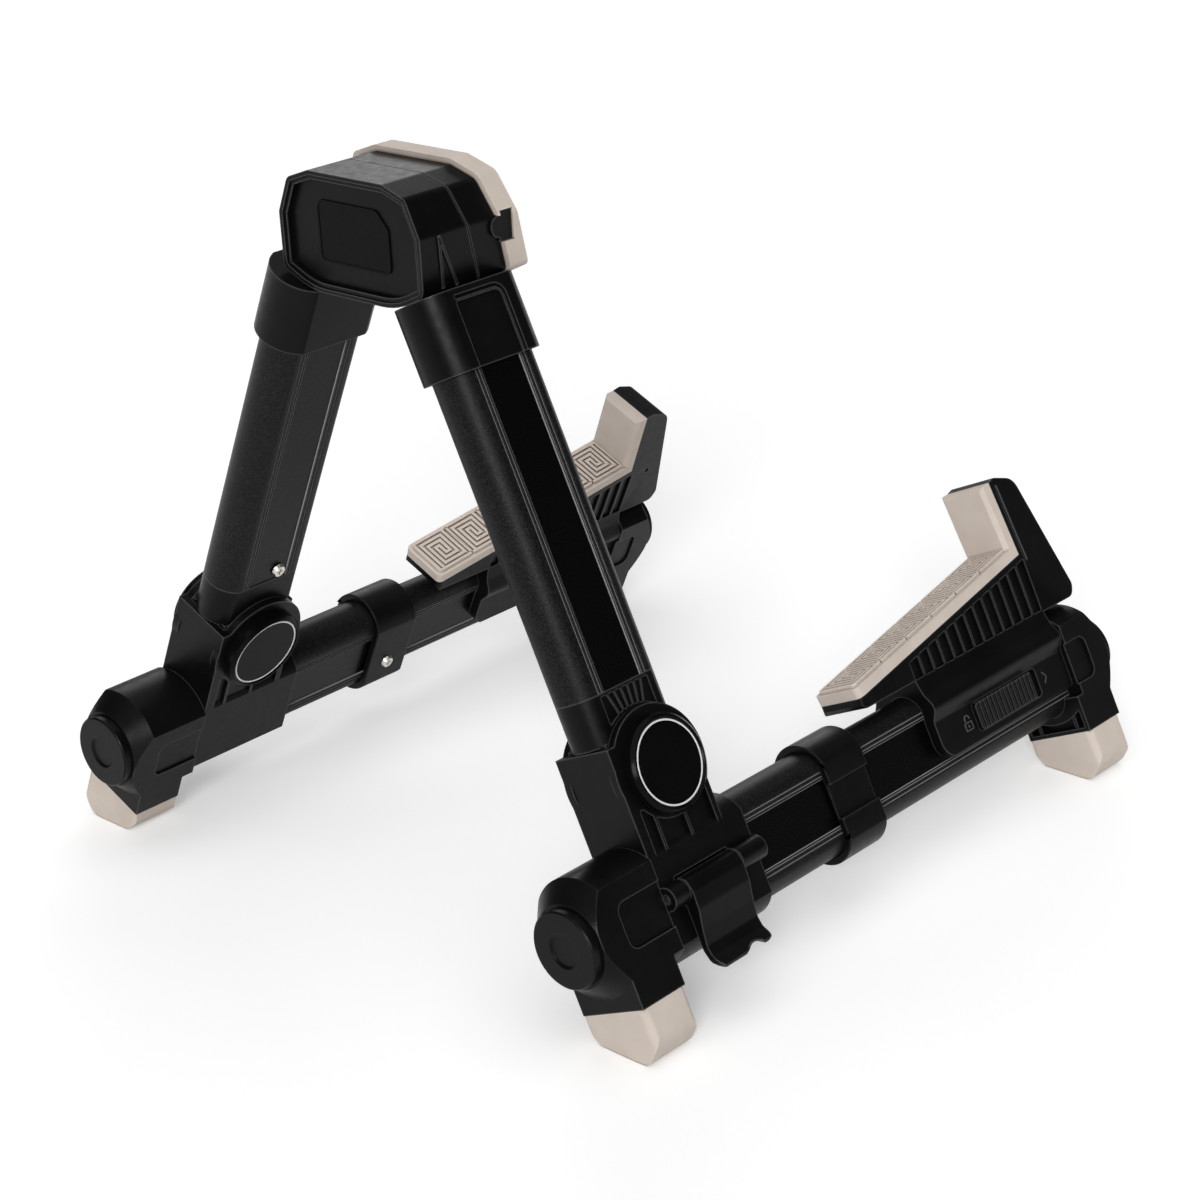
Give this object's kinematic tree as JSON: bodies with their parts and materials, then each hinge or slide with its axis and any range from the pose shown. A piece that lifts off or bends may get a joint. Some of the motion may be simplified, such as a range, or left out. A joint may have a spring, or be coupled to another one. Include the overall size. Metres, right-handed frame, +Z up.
{
  "type": "folding instrument stand",
  "caption": "Folding A-frame stand for a small guitar-like instrument: hinged uprights, telescoping base tubes with padded lipped cradles, cam locks and rubber feet.",
  "frame": {"origin": "on the floor under the middle of the stand", "axes": "+Z up, the front with the cradles' lips faces -Y, the stand's own right leg is at -X"},
  "size_m": [0.2514, 0.2514, 0.2271],
  "materials": {
    "black_plastic": "satin moulded ABS",
    "black_tube": "fine-grained black anodised aluminium",
    "gloss_black": "gloss black ABS",
    "beige_rubber": "matt beige rubber",
    "steel": "bright plated steel"
  },
  "bodies": {
    "head": {"head_rear_shell": "black_plastic", "head_front_shell": "black_plastic", "head_pad": "beige_rubber", "head_label_plate": "gloss_black", "head_screws": "steel", "right_hinge_pin": "steel", "left_hinge_pin": "steel"},
    "right_upright": {"right_top_collar": "black_plastic", "right_upright_tube": "black_tube", "right_upright_plug": "black_plastic", "right_upright_screw": "steel"},
    "right_knuckle": {"right_knuckle_bracket": "black_plastic", "right_knuckle_bolt": "steel", "right_knuckle_nut": "steel", "right_outer_cap": "gloss_black", "right_inner_cap": "gloss_black", "right_lever_pin": "steel"},
    "right_lever": {"right_lock_lever": "black_plastic"},
    "right_base": {"right_base_tube": "black_tube", "right_extension_tube": "black_tube", "right_mid_collar": "black_plastic", "right_collar_screw": "steel", "right_rear_end_cap": "black_plastic", "right_rear_foot": "beige_rubber", "right_front_end_cap": "black_plastic", "right_front_foot": "beige_rubber"},
    "right_cradle": {"right_cradle": "black_plastic", "right_cradle_pad": "beige_rubber"},
    "right_lock": {"right_lock_slider": "black_plastic"},
    "left_upright": {"left_top_collar": "black_plastic", "left_upright_tube": "black_tube", "left_upright_plug": "black_plastic", "left_upright_screw": "steel"},
    "left_knuckle": {"left_knuckle_bracket": "black_plastic", "left_knuckle_bolt": "steel", "left_knuckle_nut": "steel", "left_outer_cap": "gloss_black", "left_inner_cap": "gloss_black", "left_lever_pin": "steel"},
    "left_lever": {"left_lock_lever": "black_plastic"},
    "left_base": {"left_base_tube": "black_tube", "left_extension_tube": "black_tube", "left_mid_collar": "black_plastic", "left_collar_screw": "steel", "left_rear_end_cap": "black_plastic", "left_rear_foot": "beige_rubber", "left_front_end_cap": "black_plastic", "left_front_foot": "beige_rubber"},
    "left_cradle": {"left_cradle": "black_plastic", "left_cradle_pad": "beige_rubber"},
    "left_lock": {"left_lock_slider": "black_plastic"}
  },
  "joints": [
    {"name": "right_head_hinge", "type": "hinge", "parent": "head", "child": "right_upright", "pos_m": [-0.0115, 0.07815, 0.21694], "axis": [0, -1, 0], "range_deg": [0, 24]},
    {"name": "right_knuckle_hinge", "type": "hinge", "parent": "right_upright", "child": "right_knuckle", "pos_m": [-0.08625, 0.07815, 0.06422], "axis": [-0.9063, 0, 0.4226], "range_deg": [0, 72]},
    {"name": "right_lever_hinge", "type": "hinge", "parent": "right_knuckle", "child": "right_lever", "pos_m": [-0.11167, 0.07815, 0.03856], "axis": [0, 1, 0], "range_deg": [0, 90]},
    {"name": "right_base_slide", "type": "slide", "parent": "right_knuckle", "child": "right_base", "axis": [0, -1, 0], "range_m": [-0.036, 0]},
    {"name": "right_cradle_slide", "type": "slide", "parent": "right_base", "child": "right_cradle", "axis": [0, -1, 0], "range_m": [-0.032, 0]},
    {"name": "right_lock_slide", "type": "slide", "parent": "right_cradle", "child": "right_lock", "axis": [0, -1, 0], "range_m": [0, 0.003]},
    {"name": "left_head_hinge", "type": "hinge", "parent": "head", "child": "left_upright", "pos_m": [0.0115, 0.07815, 0.21694], "axis": [0, 1, 0], "range_deg": [0, 24]},
    {"name": "left_knuckle_hinge", "type": "hinge", "parent": "left_upright", "child": "left_knuckle", "pos_m": [0.08625, 0.07815, 0.06422], "axis": [-0.9063, 0, -0.4226], "range_deg": [0, 72]},
    {"name": "left_lever_hinge", "type": "hinge", "parent": "left_knuckle", "child": "left_lever", "pos_m": [0.11167, 0.07815, 0.03856], "axis": [0, -1, 0], "range_deg": [0, 90]},
    {"name": "left_base_slide", "type": "slide", "parent": "left_knuckle", "child": "left_base", "axis": [0, -1, 0], "range_m": [-0.036, 0]},
    {"name": "left_cradle_slide", "type": "slide", "parent": "left_base", "child": "left_cradle", "axis": [0, -1, 0], "range_m": [-0.032, 0]},
    {"name": "left_lock_slide", "type": "slide", "parent": "left_cradle", "child": "left_lock", "axis": [0, -1, 0], "range_m": [0, 0.003]}
  ]
}
